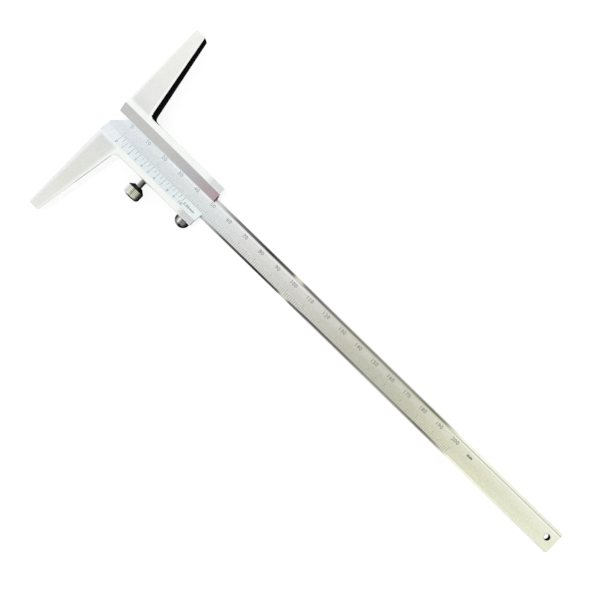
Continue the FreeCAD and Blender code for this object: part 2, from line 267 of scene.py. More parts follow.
class NodeBench:
    """Lays out the nodes of one finish."""

    def __init__(self, name: str, metallic: float) -> None:
        """Start a material with a bare shader.

        Args:
            name: The material's name.
            metallic: 1 for metal and 0 for paint.
        """
        self.material = bpy.data.materials.new(name)
        self.material.use_nodes = True
        self.tree = self.material.node_tree
        self.tree.nodes.clear()
        self.shader = self.tree.nodes.new("ShaderNodeBsdfPrincipled")
        self.metallic = metallic
        self.shader.inputs["Metallic"].default_value = metallic
        output = self.tree.nodes.new("ShaderNodeOutputMaterial")
        self.link(self.shader.outputs["BSDF"], output.inputs["Surface"])
        here = self.tree.nodes.new("ShaderNodeTexCoord")
        self.place = here.outputs["Object"]
        self.x, self.y, self.z = self.split(self.place)
        self.facing_x, self.facing_y, self.facing_z = self.split(here.outputs["Normal"])

    def link(self, source: Socket, target: Socket) -> None:
        """Join an output to an input."""
        self.tree.links.new(source, target)

    def feed(self, target: Socket, source: Socket | float | tuple) -> None:
        """Give an input a link or a plain value.

        Args:
            target: The input.
            source: What it gets.
        """
        if isinstance(source, Socket):
            self.link(source, target)
        else:
            target.default_value = source

    def split(self, vector: Socket) -> tuple[Socket, Socket, Socket]:
        """Take a vector apart.

        Args:
            vector: The vector.

        Returns:
            Its x, y and z.
        """
        node = self.tree.nodes.new("ShaderNodeSeparateXYZ")
        self.link(vector, node.inputs["Vector"])
        return node.outputs["X"], node.outputs["Y"], node.outputs["Z"]

    def calc(
        self, operation: str, first: Socket | float, second: Socket | float = 0.0
    ) -> Socket:
        """Do one step of arithmetic.

        Args:
            operation: The step's name in the maths node.
            first: The first value.
            second: The second value, for a step that takes two.

        Returns:
            The result.
        """
        node = self.tree.nodes.new("ShaderNodeMath")
        node.operation = operation
        self.feed(node.inputs[0], first)
        self.feed(node.inputs[1], second)
        return node.outputs[0]

    def add_scaled(self, value: Socket, factor: float, start: float) -> Socket:
        """A value times a factor, and a start on top."""
        return self.calc("ADD", self.calc("MULTIPLY", value, factor), start)

    def distance(self, first: Socket, second: Socket) -> Socket:
        """How far a place is from an axis, by its two distances across it."""
        squares = [self.calc("MULTIPLY", part, part) for part in (first, second)]
        return self.calc("SQRT", self.calc("ADD", *squares))

    def above(self, value: Socket, step: Step) -> Socket:
        """Make a mask that is 1 over a level and 0 under it.

        Args:
            value: What is compared with the level.
            step: The level, and how softly the mask turns over.

        Returns:
            The mask.
        """
        node = self.tree.nodes.new("ShaderNodeMapRange")
        node.interpolation_type = "SMOOTHSTEP"
        self.link(value, node.inputs["Value"])
        node.inputs["From Min"].default_value = step.level - step.blur
        node.inputs["From Max"].default_value = step.level + step.blur
        return node.outputs["Result"]

    def below(self, value: Socket, step: Step) -> Socket:
        """1 where a value is under a level and 0 over it."""
        return self.calc("SUBTRACT", 1.0, self.above(value, step))

    def band(self, value: Socket, span: Span) -> Socket:
        """1 where a value is between two levels."""
        low, high = Step(span.low, span.blur), Step(span.high, span.blur)
        return self.both(self.above(value, low), self.below(value, high))

    def both(self, *masks: Socket) -> Socket:
        """Make a mask that is 1 where all of some masks are 1.

        Args:
            masks: The masks.

        Returns:
            The mask that they share.
        """
        result = masks[0]
        for mask in masks[1:]:
            result = self.calc("MULTIPLY", result, mask)
        return result

    def flat(self) -> Socket:
        """1 on the flat faces that look to the reader."""
        return self.above(self.facing_z, FLAT)

    def upright(self) -> Socket:
        """1 on the faces that stand upright when the gauge lies on its back."""
        return self.band(self.facing_z, UPRIGHT)

    def broken_edge(self) -> Socket:
        """1 on the small chamfers round the flat front."""
        return self.band(self.facing_z, BROKEN_EDGE)

    def noise(self, density: float, grain: Grain, detail: float = 2.0) -> Socket:
        """Make a grain, drawn out one way.

        Args:
            density: How many grains there are in a metre.
            grain: How far they are drawn out.
            detail: How finely they break up.

        Returns:
            The grain, from 0 to 1.
        """
        stretch = self.tree.nodes.new("ShaderNodeMapping")
        self.link(self.place, stretch.inputs["Vector"])
        stretch.inputs["Scale"].default_value = Vector(grain.value) * density
        node = self.tree.nodes.new("ShaderNodeTexNoise")
        self.link(stretch.outputs["Vector"], node.inputs["Vector"])
        node.inputs["Scale"].default_value = 1.0
        node.inputs["Detail"].default_value = detail
        return node.outputs["Fac"]

    def ramp(self, value: Socket, tones: Tones) -> Socket:
        """Lay colours along a value, from the first stop to the last.

        Args:
            value: Where on the way a place is.
            tones: The colour at each stop.

        Returns:
            The colour.
        """
        low, high = min(tones), max(tones)
        spread = self.tree.nodes.new("ShaderNodeMapRange")
        self.link(value, spread.inputs["Value"])
        spread.inputs["From Min"].default_value = low
        spread.inputs["From Max"].default_value = high
        node = self.tree.nodes.new("ShaderNodeValToRGB")
        self.link(spread.outputs["Result"], node.inputs["Fac"])
        points = node.color_ramp.elements
        points[0].color = linear(tones[low])
        points[-1].color = linear(tones[high])
        for place, colour in tones.items():
            if low < place < high:
                points.new((place - low) / (high - low)).color = linear(colour)
        return node.outputs["Color"]

    def blend(self, under: Socket | Colour, over: Socket | Colour, mask: Socket) -> Socket:
        """Lay one colour over another.

        Args:
            under: The colour where the mask is 0.
            over: The colour where it is 1.
            mask: The mask.

        Returns:
            The blend of the two.
        """
        node = self.tree.nodes.new("ShaderNodeMix")
        node.data_type = "RGBA"
        self.link(mask, node.inputs["Factor"])
        for name, colour in (("A", under), ("B", over)):
            plain = colour if isinstance(colour, Socket) else linear(colour)
            target = next(i for i in node.inputs if i.name == name and i.type == "RGBA")
            self.feed(target, plain)
        return next(o for o in node.outputs if o.type == "RGBA")

    def lay(self, under: Socket, over: Socket | Colour, *masks: Socket) -> Socket:
        """One colour laid over another where all the masks are 1."""
        return self.blend(under, over, self.both(*masks))

    def veil(self, under: Socket, share: float, *masks: Socket) -> Socket:
        """A share of white laid over a colour where all the masks are 1."""
        return self.blend(under, WHITE, self.calc("MULTIPLY", self.both(*masks), share))

    def blacken(self, colour: Socket) -> None:
        """Let the darkest parts of a colour, its painted shade and dark painted reflections, be
        matt, so that they stay dark.

        Args:
            colour: The colour.
        """
        grey = self.tree.nodes.new("ShaderNodeRGBToBW")
        self.link(colour, grey.inputs["Color"])
        bright = self.above(grey.outputs["Val"], PAINTED_DARK_LEVEL)
        self.link(bright, self.shader.inputs["Metallic"])
        self.shader.inputs["Specular IOR Level"].default_value = 0.0

    def vary(self, colour: Socket, amount: Socket, swing: float) -> Socket:
        """Lighten and darken a colour by a grain.

        Args:
            colour: The colour.
            amount: The grain, from 0 to 1.
            swing: How far the brightness varies in all.

        Returns:
            The varied colour.
        """
        factor = self.add_scaled(amount, swing, 1.0 - swing / 2)
        node = self.tree.nodes.new("ShaderNodeVectorMath")
        node.operation = "SCALE"
        self.link(colour, node.inputs[0])
        self.link(factor, node.inputs["Scale"])
        return node.outputs["Vector"]

    def finish(self, colour: Socket, rough: Socket, height: Socket, depth: float) -> None:
        """Send colour, roughness and relief to the shader.

        Args:
            colour: The colour.
            rough: The roughness.
            height: The relief, from 0 to 1.
            depth: How deep the relief is.
        """
        bump = self.tree.nodes.new("ShaderNodeBump")
        bump.inputs["Strength"].default_value = 1.0
        bump.inputs["Distance"].default_value = depth
        self.link(height, bump.inputs["Height"])
        self.link(bump.outputs["Normal"], self.shader.inputs["Normal"])
        self.link(colour, self.shader.inputs["Base Color"])
        # painted shade and dark painted reflections are made matt
        if self.metallic:
            self.blacken(colour)
        self.link(rough, self.shader.inputs["Roughness"])


@dataclass(frozen=True, kw_only=True)
class Finish:
    """A surface with a grain, dulled in patches by use; each kind adds its colours."""

    name: str
    roughness: float
    dulling: float = 0.10
    grain: Grain = Grain.EVEN
    density: float = 9000.0
    depth: float = 0.0012 * MM
    metallic: float = 1.0
    grain_swing: float = 0.05
    patch_swing: float = 0.08
    patch_size: float = 40.0
    patch_detail: float = 4.0
    mottle_swing: float = 0.16
    mottle_density: float = 1100.0

    def bench(self) -> NodeBench:
        """Start this finish's nodes."""
        return NodeBench(self.name, self.metallic)

    def complete(self, bench: NodeBench, colour: Socket) -> bpy.types.Material:
        """Add grain, patches and relief to a colour.

        Args:
            bench: The nodes so far.
            colour: The colour without its grain.

        Returns:
            The finished material.
        """
        fine = bench.noise(self.density, self.grain)
        patches = bench.noise(
            self.density / self.patch_size, Grain.EVEN, self.patch_detail
        )
        grained = bench.vary(colour, fine, self.grain_swing)
        toned = bench.vary(grained, patches, self.patch_swing)
        mottle = bench.noise(self.mottle_density, Grain.EVEN)
        toned = bench.vary(toned, mottle, self.mottle_swing)
        rough = bench.add_scaled(patches, self.dulling, self.roughness - self.dulling / 2)
        bench.finish(toned, rough, fine, self.depth)
        return bench.material


@dataclass(frozen=True, kw_only=True)
class PlainMetal(Finish):
    """A metal in one colour that turns to its shade in patches."""

    colour: Colour
    shade: Colour
    stain_size: float = 12.0
    stain_detail: float = 3.0
    stain_step: Step = Step(0.62, 0.08)

    def build(self) -> bpy.types.Material:
        """Lay stains on the plain metal.

        Returns:
            The finished material.
        """
        bench = self.bench()
        patches = bench.noise(
            self.density / self.stain_size, Grain.EVEN, self.stain_detail
        )
        stain = bench.above(patches, self.stain_step)
        return self.complete(bench, bench.blend(self.colour, self.shade, stain))


@dataclass(frozen=True, kw_only=True)
class SliderChrome(Finish):
    """Satin chrome of the one-piece base and slider, with painted reflections and painted shade
    laid face by face.
    """

    face_x: float
    thickness: float
    length: float = 58.4 * MM
    half_width: float = 11.3 * MM
    window_half: float = 8.2 * MM
    lip_front: float = 7.65 * MM
    arm_root: float = 12.4 * MM
    arm_tip: float = 53.0 * MM
    arm_taper: float = 7.1 / 41.7
    chamfer: float = 0.4 * MM
    shaded_half: float = 8.15 * MM
    shaded_narrowing: float = 0.3 * MM
    end_depth: float = 0.25 * MM
    end_slant: float = 0.06
    fillet: float = 2.6 * MM
    root_shadow: float = 5.0 * MM
    root_fade: float = 1.0 * MM
    # how far the painted shade reaches from the rear of the flat strips
    dim_length: float = 8.0 * MM
    edge_width: float = 0.6 * MM
    blur: float = 0.02 * MM

    # where the painted shade lies across each arm, and where the painted highlight starts
    upper_middle: Span = Span(0.1, 0.92, 0.05)
    lower_middle: Span = Span(0.13, 0.86, 0.12)
    rear_rim: Step = Step(0.93, 0.04)
    lower_arm: Step = Step(-9.1 * MM, 1.2 * MM)
    end_reach: Step = Step(6.9 * MM, 0.3 * MM)
    # where the painted shade line runs on the lower arm's broken edge
    lined_arm: Span = Span(-33 * MM, -13.8 * MM, 2.0 * MM)
    slope: Step = Step(0.6, 0.05)
    rearward: Step = Step(0.3, 0.1)
    dark_rearward: Step = Step(0.25, 0.03)
    dark_upright: Step = Step(0.35, 0.05)
    upward: Step = Step(0.4, 0.1)

    front: Colour = (242, 244, 242)
    # painted shade on the back and on the upright sides, and a painted reflection of the white
    # table on the sides that look rearwards
    back: Colour = (205, 207, 209)
    side: Colour = (196, 198, 201)
    rear: Colour = (250, 251, 250)
    # painted highlight along the rear edge of each arm's front
    rim: Colour = (250, 251, 248)
    # painted shade at the rear of the flat strips, and thin lines of painted shade on broken
    # edges
    strip_dim: Colour = (206, 209, 208)
    upper_strip_dim: Colour = (217, 220, 219)
    edge_line: Colour = (228, 229, 226)
    arm_line: Colour = (200, 202, 198)
    # painted dark reflection of the shaded table on the upper arm's rear side, darker towards
    # its top, and a painted shadow at its root
    side_foot: Colour = (28, 28, 30)
    side_top: Colour = (12, 12, 14)
    black: Colour = (6, 6, 8)
    # painted shade at the ends of the two bevels
    end_line: Colour = (198, 201, 202)
    upper_end: Colour = (60, 60, 62)
    # painted shade on the broken edge at the lower strip's end
    strip_end: Colour = (166, 168, 168)

    def upper_arm_tones(self) -> Tones:
        """Painted shade on the front of the upper arm, from its root to its tip."""
        return {
            self.half_width: (221, 221, 222),
            18 * MM: (228, 228, 227),
            34 * MM: (231, 231, 227),
            self.arm_tip: (235, 236, 232),
        }

    def lower_arm_tones(self) -> Tones:
        """Painted shade on the front of the lower arm, from its root to its tip."""
        return {
            8.5 * MM: (216, 219, 220),
            16 * MM: (220, 221, 217),
            32 * MM: (222, 223, 216),
            self.arm_tip: (230, 231, 226),
        }

    def lower_bevel_tones(self) -> Tones:
        """Painted reflection on the bevel with the vernier, from the measuring face to the rear
        end.
        """
        return {
            0.0: (228, 232, 236),
            9 * MM: (228, 234, 237),
            16 * MM: (225, 232, 234),
            40 * MM: (224, 232, 234),
            self.length: (234, 241, 241),
        }

    def upper_bevel_tones(self) -> Tones:
        """Painted reflection on the bevel without a scale, from the measuring face to the rear
        end.
        """
        return {
            0.0: (197, 197, 196),
            25 * MM: (196, 197, 195),
            42 * MM: (184, 183, 185),
            53 * MM: (177, 166, 169),
            self.length: (180, 155, 163),
        }

    def tone_arms(self, bench: NodeBench, colour: Socket, along: Socket) -> Socket:
        """Paint shade on the middle of each arm's front, leave its long edges light, and paint a
        highlight along its rear edge.

        Args:
            bench: The nodes so far.
            colour: The colour so far.
            along: How far a place is from the measuring face.

        Returns:
            The colour with the arms' tones.
        """
        height = bench.calc("ABSOLUTE", bench.y)
        out = bench.calc("SUBTRACT", height, self.half_width)
        rear_edge = bench.add_scaled(out, -self.arm_taper, self.arm_root)
        across = bench.calc("DIVIDE", along, rear_edge)
        upper_arm = bench.above(bench.y, Step(self.half_width - self.chamfer, 0.5 * MM))
        upper_middle = bench.band(across, self.upper_middle)
        tones = bench.ramp(height, self.upper_arm_tones())
        colour = bench.lay(colour, tones, bench.flat(), upper_arm, upper_middle)
        lower_arm = bench.below(bench.y, self.lower_arm)
        lower_middle = bench.band(across, self.lower_middle)
        tones = bench.ramp(height, self.lower_arm_tones())
        colour = bench.lay(colour, tones, bench.flat(), lower_arm, lower_middle)
        on_arm = bench.above(height, Step(self.half_width + 2.0 * MM, 2.0 * MM))
        # painted highlight along the rear edge of each arm's front
        rear_rim = bench.above(across, self.rear_rim)
        return bench.lay(colour, self.rim, bench.flat(), on_arm, rear_rim)

    def tone_bevels(self, bench: NodeBench, colour: Socket, along: Socket) -> Socket:
        """Paint reflections on the two bevels, and painted shade at the dark end of the one and
        the thin end of the other.

        Args:
            bench: The nodes so far.
            colour: The colour so far.
            along: How far a place is from the measuring face.

        Returns:
            The colour with the bevels' tones.
        """
        slope = bench.above(bench.facing_z, self.slope)
        raised = bench.above(bench.z, Step(self.lip_front - 0.1 * MM, self.blur))
        lower_side = bench.band(bench.y, Span(-self.window_half, 0.0, self.blur))
        lower = bench.both(lower_side, raised)
        narrowing = -self.shaded_narrowing / self.length
        shaded_edge = bench.add_scaled(along, narrowing, self.shaded_half)
        past_edge = bench.calc("SUBTRACT", bench.y, shaded_edge)
        shaded = bench.below(past_edge, Step(0.0, 0.1 * MM))
        upper_side = bench.above(bench.y, Step(0.0, self.blur))
        upper = bench.both(upper_side, shaded, raised)
        # painted reflections on the two bevels
        colour = bench.lay(colour, bench.ramp(along, self.lower_bevel_tones()), lower, slope)
        colour = bench.lay(colour, bench.ramp(along, self.upper_bevel_tones()), upper, slope)
        # painted shade at the ends of the two bevels
        end = bench.above(along, Step(self.length - self.end_depth, self.blur))
        colour = bench.lay(colour, self.end_line, lower, end)
        slanted = bench.calc("SUBTRACT", along, bench.calc("MULTIPLY", bench.y, self.end_slant))
        reach = self.length - self.end_depth - self.window_half * self.end_slant
        inner = bench.below(bench.y, self.end_reach)
        past = bench.above(slanted, Step(reach, self.blur))
        return bench.lay(colour, self.upper_end, upper, inner, past)

    def tone_edges(self, bench: NodeBench, colour: Socket, along: Socket) -> Socket:
        """Paint shade on the rear of the flat strips, and thin lines of painted shade on the
        broken edges.

        Args:
            bench: The nodes so far.
            colour: The colour so far.
            along: How far a place is from the measuring face.

        Returns:
            The colour with the edges' tones.
        """
        # painted shade at the rear of the flat strips
        rearmost = bench.above(along, Step(self.length - self.dim_length, 2.0 * MM))
        upper = bench.above(bench.y, Step(0.0, self.blur))
        rear_shade = bench.blend(self.strip_dim, self.upper_strip_dim, upper)
        colour = bench.lay(colour, rear_shade, bench.flat(), rearmost)
        # thin lines of painted shade on the broken edges
        slider_edge = bench.below(bench.y, Step(self.edge_width - self.half_width, self.blur))
        colour = bench.lay(colour, self.edge_line, bench.broken_edge(), slider_edge)
        strip_end = bench.both(
            bench.below(bench.y, Step(-self.window_half, self.blur)),
            bench.above(along, Step(self.length - 1.0 * MM, self.blur)),
            bench.above(bench.facing_x, FACING),
        )
        colour = bench.lay(colour, self.strip_end, bench.broken_edge(), strip_end)
        arm_edge = bench.both(
            bench.band(bench.y, self.lined_arm), bench.above(bench.facing_x, FACING)
        )
        return bench.lay(colour, self.arm_line, bench.broken_edge(), arm_edge)

    def darken_root(self, bench: NodeBench, colour: Socket, along: Socket) -> Socket:
        """Paint a dark reflection of the shaded table on the upper arm's rear side, and a
        painted shadow on the slider's edge where they meet.

        Args:
            bench: The nodes so far.
            colour: The colour so far.
            along: How far a place is from the measuring face.

        Returns:
            The colour with the dark sides.
        """
        side = bench.both(
            bench.above(bench.facing_x, self.dark_rearward),
            bench.below(bench.facing_z, self.dark_upright),
            bench.above(bench.y, Step(self.half_width, 0.1 * MM)),
            bench.below(along, Step(self.arm_root + self.fillet, self.blur)),
        )
        # painted dark reflection on the upper arm's rear side, darker towards its top
        dark = bench.ramp(bench.z, {0.0: self.side_foot, self.thickness: self.side_top})
        colour = bench.lay(colour, dark, side)
        # the same painted dark reflection, fading out along the slider's upper side
        upper = bench.both(
            bench.above(bench.facing_y, self.upward),
            bench.above(bench.y, Step(self.half_width - self.edge_width, self.blur)),
            bench.above(along, Step(self.arm_root, self.blur)),
        )
        fade_end = self.arm_root + self.fillet + self.root_fade
        fade = bench.below(along, Step(fade_end, 2.4 * MM))
        colour = bench.lay(colour, dark, upper, bench.upright(), fade)
        # painted shadow on the slider's broken edge beside the arm's root
        root = bench.below(along, Step(self.arm_root + self.root_shadow, 0.9 * MM))
        return bench.lay(colour, self.black, upper, bench.broken_edge(), root)

    def build(self) -> bpy.types.Material:
        """Lay the painted shade and painted reflections of each face on chrome.

        Returns:
            The finished material.
        """
        bench = self.bench()
        along = bench.calc("SUBTRACT", bench.x, self.face_x)
        # painted shade on the back and the upright sides, a painted reflection of the white
        # table on the sides that look rearwards
        behind = bench.below(bench.facing_z, Step(-FACING.level, FACING.blur))
        colour = bench.blend(self.front, self.back, behind)
        rearward = bench.above(bench.facing_x, self.rearward)
        side = bench.blend(self.side, self.rear, rearward)
        colour = bench.lay(colour, side, bench.upright())
        colour = self.tone_arms(bench, colour, along)
        colour = self.tone_bevels(bench, colour, along)
        colour = self.tone_edges(bench, colour, along)
        return self.complete(bench, self.darken_root(bench, colour, along))


@dataclass(frozen=True, kw_only=True)
class BeamSteel(Finish):
    """Brushed steel of the beam, with painted reflections on its front and dark bevels, and
    painted shade on its sides and in its hole.
    """

    face_x: float
    half_width: float
    length: float
    bevel_width: float = 1.3 * MM
    lower_lag: float = 0.25 * MM
    hole_margin: float = 4.5 * MM
    hole_radius: float = 1.5 * MM
    slider_length: float = 58.4 * MM
    blur: float = 0.02 * MM

    # the stretch where the painted bevel reflections change and the painted highlight lines fade
    worn_stretch: Span = Span(120 * MM, 204 * MM, 8 * MM)
    worn_edge: Step = Step(5.25 * MM, 0.15 * MM)
    worn_share: float = 0.85
    worn_veil: float = 0.3
    middle_foot: Step = Step(0.8 * MM, 1.6 * MM)
    middle_head: Step = Step(3.6 * MM, 0.6 * MM)
    middle_veil: float = 0.16
    lines: Span = Span(-4.4 * MM, -2.2 * MM, 0.4 * MM)
    lines_veil: float = 0.08
    # thin painted highlight lines on the front, beside the lips
    rubbed: Span = Span(3.25 * MM, 3.95 * MM, 0.12 * MM)
    rubbed_veil: float = 0.42
    under_lip: Span = Span(2.6 * MM, 3.25 * MM, 0.12 * MM)
    under_lip_start: float = 30 * MM
    far_end: Step = Step(206 * MM, 3 * MM)

    # painted shade on the wall of the hole
    black: Colour = (6, 6, 6)
    # painted shade on the upright sides
    side: Colour = (172, 174, 172)
    # a line of painted shade at the far end, between the upper bevel and the front
    far_line: Colour = (176, 177, 162)

    def flat_tones(self) -> Tones:
        """The front's colour along the beam, a painted reflection of the room."""
        return {
            0.0: (220, 225, 229),
            20 * MM: (216, 222, 225),
            60 * MM: (216, 221, 221),
            84 * MM: (214, 214, 212),
            123 * MM: (203, 202, 194),
            145 * MM: (194, 192, 178),
            165 * MM: (190, 191, 175),
            183 * MM: (196, 195, 175),
            203 * MM: (210, 210, 187),
            225 * MM: (218, 218, 193),
            self.length: (230, 232, 210),
        }

    def upper_edge_tones(self) -> Tones:
        """The upper bevel's painted reflection along the beam, with a painted glint."""
        return {
            0.0: (214, 220, 222),
            60 * MM: (210, 210, 210),
            72 * MM: (124, 124, 123),
            92 * MM: (62, 62, 60),
            106 * MM: (104, 104, 98),
            108 * MM: (208, 209, 190),
            111 * MM: (208, 209, 190),
            113 * MM: (132, 131, 125),
            121 * MM: (110, 109, 104),
            150 * MM: (132, 132, 121),
            178 * MM: (145, 145, 128),
            192 * MM: (112, 112, 97),
            200 * MM: (138, 138, 122),
            206 * MM: (228, 229, 207),
            211 * MM: (248, 249, 234),
            self.length: (233, 235, 217),
        }

    def lower_edge_tones(self) -> Tones:
        """The lower bevel's painted reflection along the beam, with a painted glint."""
        return {
            0.0: (214, 220, 222),
            60 * MM: (198, 198, 198),
            72 * MM: (96, 96, 96),
            92 * MM: (54, 54, 52),
            106 * MM: (98, 98, 92),
            108 * MM: (206, 207, 189),
            111 * MM: (206, 207, 189),
            113 * MM: (116, 115, 111),
            122 * MM: (86, 85, 82),
            149 * MM: (113, 113, 104),
            161 * MM: (142, 143, 129),
            180 * MM: (140, 140, 123),
            194 * MM: (106, 106, 93),
            203 * MM: (144, 144, 130),
            212 * MM: (242, 243, 222),
            self.length: (222, 225, 208),
        }

    def worn(self, bench: NodeBench, along: Socket) -> Socket:
        """1 on the stretch between the middle and the last numeral, where the outer bevels get a
        painted highlight and the highlight lines fade.
        """
        return bench.band(along, self.worn_stretch)

    def tone_flat(self, bench: NodeBench, colour: Socket, along: Socket) -> Socket:
        """Lighten the middle of the front, and paint two thin highlight lines on it.

        Args:
            bench: The nodes so far.
            colour: The colour so far.
            along: How far a place is from the measuring end.

        Returns:
            The colour with the lighter parts.
        """
        middle = bench.both(
            bench.above(bench.y, self.middle_foot), bench.below(bench.y, self.middle_head)
        )
        colour = bench.veil(colour, self.middle_veil, bench.flat(), middle)
        lines = bench.band(bench.y, self.lines)
        colour = bench.veil(colour, self.lines_veil, bench.flat(), lines)
        # two thin painted highlight lines beside the lip
        rubbed = bench.both(
            bench.band(bench.y, self.rubbed),
            bench.above(along, Step(self.slider_length + 0.6 * MM, 0.5 * MM)),
        )
        under_lip = bench.both(
            bench.band(bench.y, self.under_lip),
            bench.band(along, Span(self.under_lip_start, self.slider_length, 5 * MM)),
        )
        either = bench.calc("MAXIMUM", rubbed, under_lip)
        # the painted highlight lines fade along that stretch
        outside_reflection_stretch = bench.add_scaled(self.worn(bench, along), -self.worn_share, 1.0)
        return bench.veil(colour, self.rubbed_veil, bench.flat(), either, outside_reflection_stretch)

    def tone_edges(self, bench: NodeBench, colour: Socket, along: Socket) -> Socket:
        """Paint reflections on the two bevels, and a line of painted shade between the upper one
        and the front.

        Args:
            bench: The nodes so far.
            colour: The colour so far.
            along: How far a place is from the measuring end.

        Returns:
            The colour with the bevels' tones.
        """
        flat_half = self.half_width - self.bevel_width
        front = bench.above(bench.facing_z, FACING)
        sloping = bench.both(front, bench.below(bench.facing_z, FLAT))
        upper = bench.above(bench.y, Step(flat_half, self.blur))
        worn = self.worn(bench, along)
        # outside that stretch the lower bevel's painted reflection starts a little further out
        lag = bench.add_scaled(worn, -self.lower_lag, self.lower_lag)
        lagging = bench.calc("ADD", bench.y, lag)
        lower = bench.below(lagging, Step(-flat_half, self.blur * 4))
        # painted reflections on the two bevels
        colour = bench.lay(colour, bench.ramp(along, self.upper_edge_tones()), sloping, upper)
        colour = bench.lay(colour, bench.ramp(along, self.lower_edge_tones()), sloping, lower)
        # painted highlight on the outer part of the bevels along that stretch
        outer = bench.above(bench.calc("ABSOLUTE", bench.y), self.worn_edge)
        colour = bench.veil(colour, self.worn_veil, sloping, outer, worn)
        # a line of painted shade at the far end, between the upper bevel and the front
        far = bench.above(along, self.far_end)
        line = Span(flat_half - 0.12 * MM, flat_half + 0.15 * MM, self.blur)
        thin = bench.band(bench.y, line)
        return bench.lay(colour, self.far_line, far, thin, front)

    def build(self) -> bpy.types.Material:
        """Lay the painted reflections along the beam on steel, and paint shade on the wall of
        its hole.

        Returns:
            The finished material.
        """
        bench = self.bench()
        along = bench.calc("SUBTRACT", bench.x, self.face_x)
        colour = bench.ramp(along, self.flat_tones())
        colour = self.tone_flat(bench, colour, along)
        colour = self.tone_edges(bench, colour, along)
        # painted shade on the upright sides
        colour = bench.lay(colour, self.side, bench.upright())
        # painted shade on the wall of the hole
        hole_x = bench.calc("SUBTRACT", along, self.length - self.hole_margin)
        near_hole = bench.below(
            bench.distance(hole_x, bench.y), Step(self.hole_radius + 0.05 * MM, self.blur)
        )
        wall = bench.below(bench.facing_z, FACING)
        return self.complete(bench, bench.lay(colour, self.black, near_hole, wall))


@dataclass(frozen=True, kw_only=True)
class ScalePaint(Finish):
    """Paint in an engraved scale, lighter at one end than at the other."""

    face_x: float
    tones: Tones
    metallic: float = 0.0

    def build(self) -> bpy.types.Material:
        """Lay the tones along the scale on paint.

        Returns:
            The finished material.
        """
        bench = self.bench()
        along = bench.calc("SUBTRACT", bench.x, self.face_x)
        return self.complete(bench, bench.ramp(along, self.tones))


@dataclass(frozen=True, kw_only=True)
class TurnedChrome(Finish):
    """Bright chrome on a turned screw, with painted reflections: the bands that a round mirror
    shows.

    The bands are given in degrees around the axis, from the front towards +x.
    """

    axis_x: float
    axis_z: float
    underside: float
    head_bands: Tones
    stem_bands: Tones
    shoulder_bands: Tones
    end_bands: Tones
    end_facing: float
    groove_reach: float
    groove_share: float = 0.25
    barrel: Span = Span(-0.1, 0.3, 0.1)
    shoulder: Step = Step(0.35, 0.1)
    stem: Step = Step(1.6 * MM, 0.04 * MM)

    def build(self) -> bpy.types.Material:
        """Lay the painted reflection bands on chrome, with the shoulder, the end and painted
        shade in the grooves.

        Returns:
            The finished material.
        """
        bench = self.bench()
        side = bench.calc("SUBTRACT", bench.x, self.axis_x)
        rise = bench.calc("SUBTRACT", bench.z, self.axis_z)
        turn = bench.calc("MULTIPLY", bench.calc("ARCTAN2", side, rise), math.degrees(1))
        reach = bench.distance(side, rise)
        shoulder_tones = bench.ramp(turn, self.shoulder_bands)
        colour = bench.ramp(turn, self.head_bands)
        # painted shade in the knurl's grooves
        if self.groove_reach:
            deep = bench.below(reach, Step(self.groove_reach, 0.07 * MM))
            grooves = bench.both(deep, bench.band(bench.facing_y, self.barrel))
            share = bench.calc("MULTIPLY", grooves, self.groove_share)
            colour = bench.blend(colour, shoulder_tones, share)
        shoulder = bench.above(bench.facing_y, self.shoulder)
        colour = bench.blend(colour, shoulder_tones, shoulder)
        end = bench.below(bench.facing_y, Step(self.end_facing, FACING.blur))
        colour = bench.blend(colour, bench.ramp(turn, self.end_bands), end)
        stem = bench.below(reach, self.stem)
        inside = bench.above(bench.y, Step(self.underside, 0.1 * MM))
        stem_tones = bench.ramp(turn, self.stem_bands)
        return self.complete(bench, bench.lay(colour, stem_tones, stem, inside))


# Engraved scales


def is_upright(edge: bmesh.types.BMEdge) -> bool:
    """Whether an edge runs straight down into the face."""
    run = edge.verts[0].co - edge.verts[1].co
    return abs(run.z) > 1e-6 and math.hypot(run.x, run.y) < 1e-9


